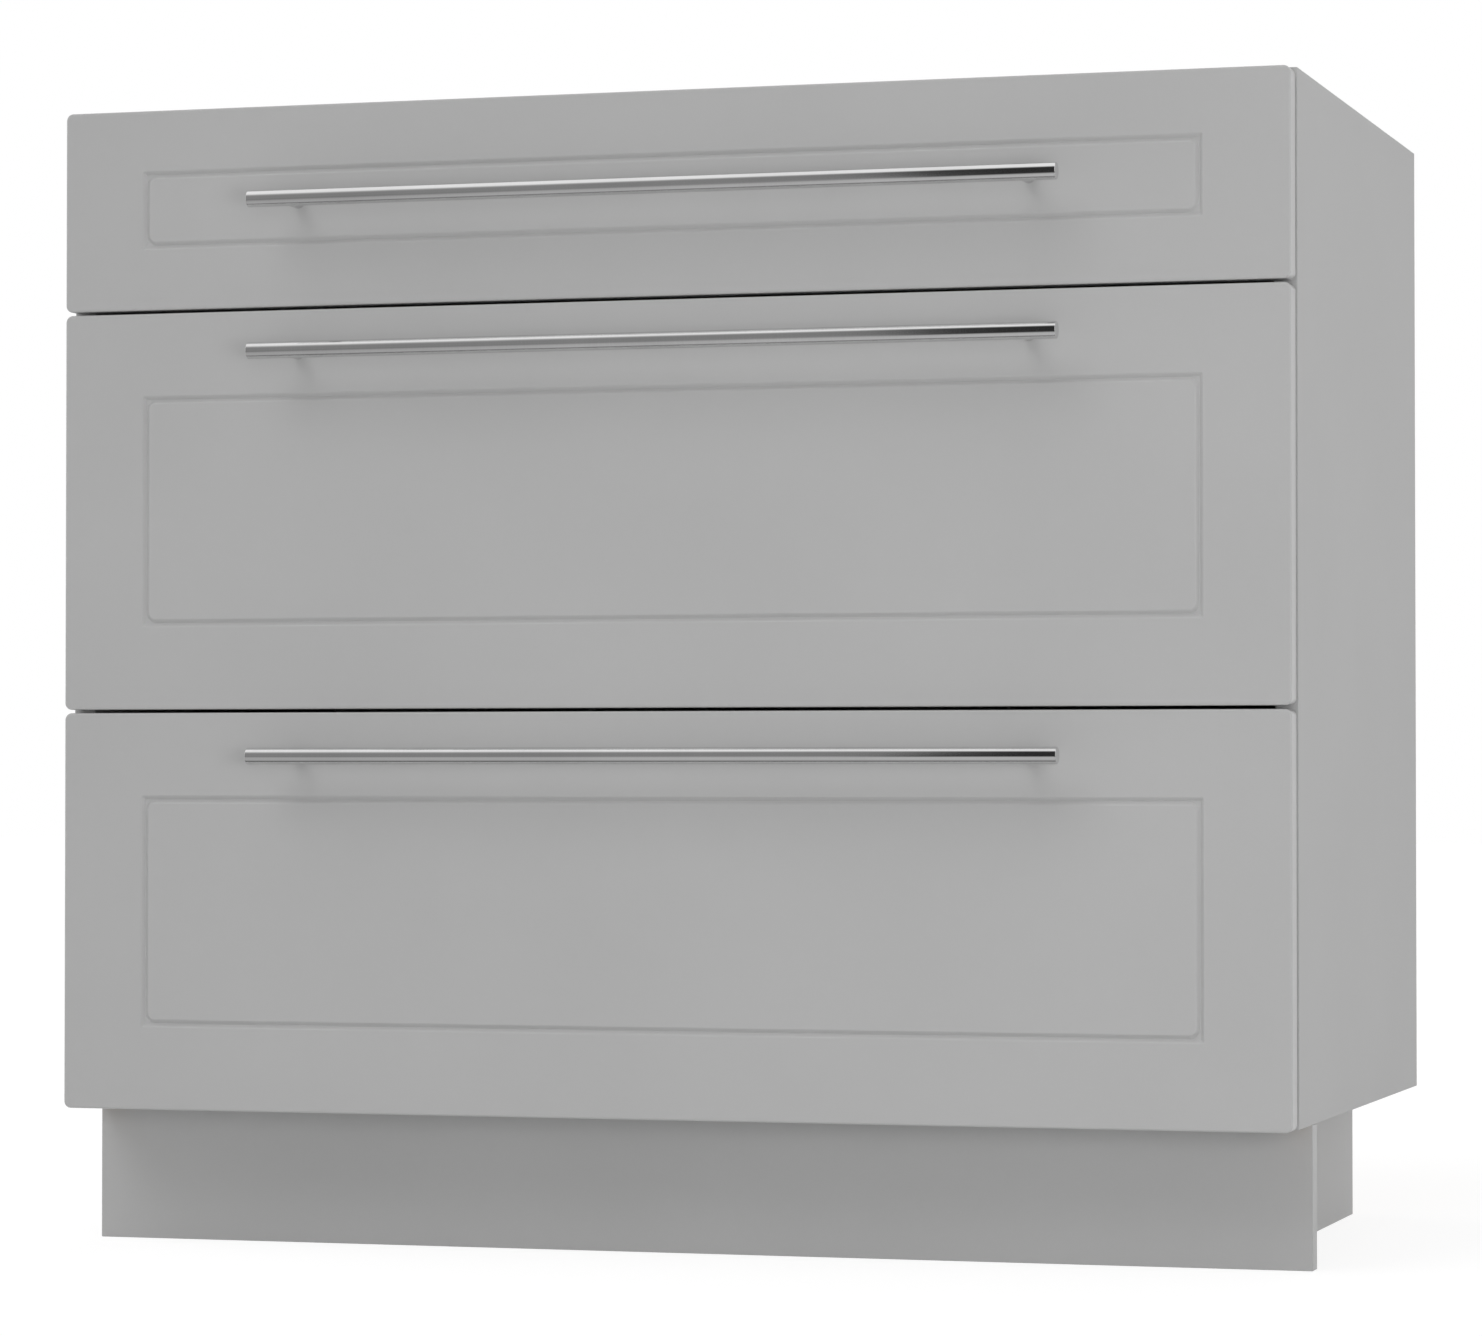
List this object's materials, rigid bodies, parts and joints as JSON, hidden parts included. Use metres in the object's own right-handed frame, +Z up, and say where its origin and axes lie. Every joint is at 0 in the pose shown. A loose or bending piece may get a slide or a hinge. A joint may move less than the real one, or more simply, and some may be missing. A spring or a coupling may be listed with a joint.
{
  "type": "kitchen base cabinet with drawers",
  "caption": "Floor-standing kitchen base cabinet with full-width drawers on telescopic slides, bar handles, framed fronts and a recessed plinth.",
  "frame": {"origin": "on the floor, in the middle of the box round the whole cabinet with its drawers closed, handles included", "axes": "+X to the right when facing the drawer fronts, +Y back towards the wall, +Z up"},
  "size_m": [0.9, 0.556, 0.82],
  "materials": {
    "carcass_board": "chipboard with a fine matt grey melamine face",
    "base_board": "chipboard with a matt grey melamine face",
    "front_board": "fibreboard in a smooth matt grey foil",
    "box_board": "chipboard with a matt light grey melamine face",
    "hardboard": "thin fibreboard, lacquered grey",
    "handle_steel": "satin stainless steel",
    "screw_steel": "zinc-plated steel",
    "slide_steel": "zinc-plated cold-rolled steel",
    "cage_steel": "zinc-plated thin steel",
    "bracket_steel": "zinc-plated steel",
    "bumper_pad": "soft translucent grey pad"
  },
  "bodies": {
    "carcass": {"side_panel_left": "carcass_board", "side_panel_right": "carcass_board", "bottom_panel": "carcass_board", "top_rail_front": "carcass_board", "top_rail_rear": "carcass_board", "back_panel": "hardboard", "plinth_board": "base_board", "base_side_left": "base_board", "base_side_right": "base_board", "base_rear_rail": "base_board", "corner_brackets": "bracket_steel", "bumpers": "bumper_pad", "outer_rails_upper": "slide_steel", "outer_rails_middle": "slide_steel", "outer_rails_lower": "slide_steel"},
    "drawer_upper": {"drawer_front_upper": "front_board", "handle_bar_upper": "handle_steel", "handle_posts_upper": "handle_steel", "handle_screws_upper": "screw_steel", "box_front_upper": "box_board", "box_back_upper": "box_board", "box_side_left_upper": "box_board", "box_side_right_upper": "box_board", "box_bottom_upper": "hardboard", "inner_rails_upper": "slide_steel"},
    "centre_rails_upper": {"centre_rails_upper": "slide_steel"},
    "outer_cages_upper": {"outer_ball_cages_upper": "cage_steel"},
    "inner_cages_upper": {"inner_ball_cages_upper": "cage_steel"},
    "drawer_middle": {"drawer_front_middle": "front_board", "handle_bar_middle": "handle_steel", "handle_posts_middle": "handle_steel", "handle_screws_middle": "screw_steel", "box_front_middle": "box_board", "box_back_middle": "box_board", "box_side_left_middle": "box_board", "box_side_right_middle": "box_board", "box_bottom_middle": "hardboard", "inner_rails_middle": "slide_steel"},
    "centre_rails_middle": {"centre_rails_middle": "slide_steel"},
    "outer_cages_middle": {"outer_ball_cages_middle": "cage_steel"},
    "inner_cages_middle": {"inner_ball_cages_middle": "cage_steel"},
    "drawer_lower": {"drawer_front_lower": "front_board", "handle_bar_lower": "handle_steel", "handle_posts_lower": "handle_steel", "handle_screws_lower": "screw_steel", "box_front_lower": "box_board", "box_back_lower": "box_board", "box_side_left_lower": "box_board", "box_side_right_lower": "box_board", "box_bottom_lower": "hardboard", "inner_rails_lower": "slide_steel"},
    "centre_rails_lower": {"centre_rails_lower": "slide_steel"},
    "outer_cages_lower": {"outer_ball_cages_lower": "cage_steel"},
    "inner_cages_lower": {"inner_ball_cages_lower": "cage_steel"}
  },
  "joints": [
    {"name": "upper_drawer_slide", "type": "slide", "parent": "carcass", "child": "drawer_upper", "axis": [0, -1, 0], "range_m": [0, 0.45]},
    {"name": "upper_centre_rail_slide", "type": "slide", "parent": "carcass", "child": "centre_rails_upper", "axis": [0, -1, 0], "range_m": [0, 0.225]},
    {"name": "upper_outer_cage_slide", "type": "slide", "parent": "carcass", "child": "outer_cages_upper", "axis": [0, -1, 0], "range_m": [0, 0.1125]},
    {"name": "upper_inner_cage_slide", "type": "slide", "parent": "carcass", "child": "inner_cages_upper", "axis": [0, -1, 0], "range_m": [0, 0.3375]},
    {"name": "middle_drawer_slide", "type": "slide", "parent": "carcass", "child": "drawer_middle", "axis": [0, -1, 0], "range_m": [0, 0.45]},
    {"name": "middle_centre_rail_slide", "type": "slide", "parent": "carcass", "child": "centre_rails_middle", "axis": [0, -1, 0], "range_m": [0, 0.225]},
    {"name": "middle_outer_cage_slide", "type": "slide", "parent": "carcass", "child": "outer_cages_middle", "axis": [0, -1, 0], "range_m": [0, 0.1125]},
    {"name": "middle_inner_cage_slide", "type": "slide", "parent": "carcass", "child": "inner_cages_middle", "axis": [0, -1, 0], "range_m": [0, 0.3375]},
    {"name": "lower_drawer_slide", "type": "slide", "parent": "carcass", "child": "drawer_lower", "axis": [0, -1, 0], "range_m": [0, 0.45]},
    {"name": "lower_centre_rail_slide", "type": "slide", "parent": "carcass", "child": "centre_rails_lower", "axis": [0, -1, 0], "range_m": [0, 0.225]},
    {"name": "lower_outer_cage_slide", "type": "slide", "parent": "carcass", "child": "outer_cages_lower", "axis": [0, -1, 0], "range_m": [0, 0.1125]},
    {"name": "lower_inner_cage_slide", "type": "slide", "parent": "carcass", "child": "inner_cages_lower", "axis": [0, -1, 0], "range_m": [0, 0.3375]}
  ],
  "couplings": [
    {"joint": "upper_centre_rail_slide", "follows": "upper_drawer_slide", "ratio": 0.5},
    {"joint": "upper_outer_cage_slide", "follows": "upper_drawer_slide", "ratio": 0.25},
    {"joint": "upper_inner_cage_slide", "follows": "upper_drawer_slide", "ratio": 0.75},
    {"joint": "middle_centre_rail_slide", "follows": "middle_drawer_slide", "ratio": 0.5},
    {"joint": "middle_outer_cage_slide", "follows": "middle_drawer_slide", "ratio": 0.25},
    {"joint": "middle_inner_cage_slide", "follows": "middle_drawer_slide", "ratio": 0.75},
    {"joint": "lower_centre_rail_slide", "follows": "lower_drawer_slide", "ratio": 0.5},
    {"joint": "lower_outer_cage_slide", "follows": "lower_drawer_slide", "ratio": 0.25},
    {"joint": "lower_inner_cage_slide", "follows": "lower_drawer_slide", "ratio": 0.75}
  ]
}
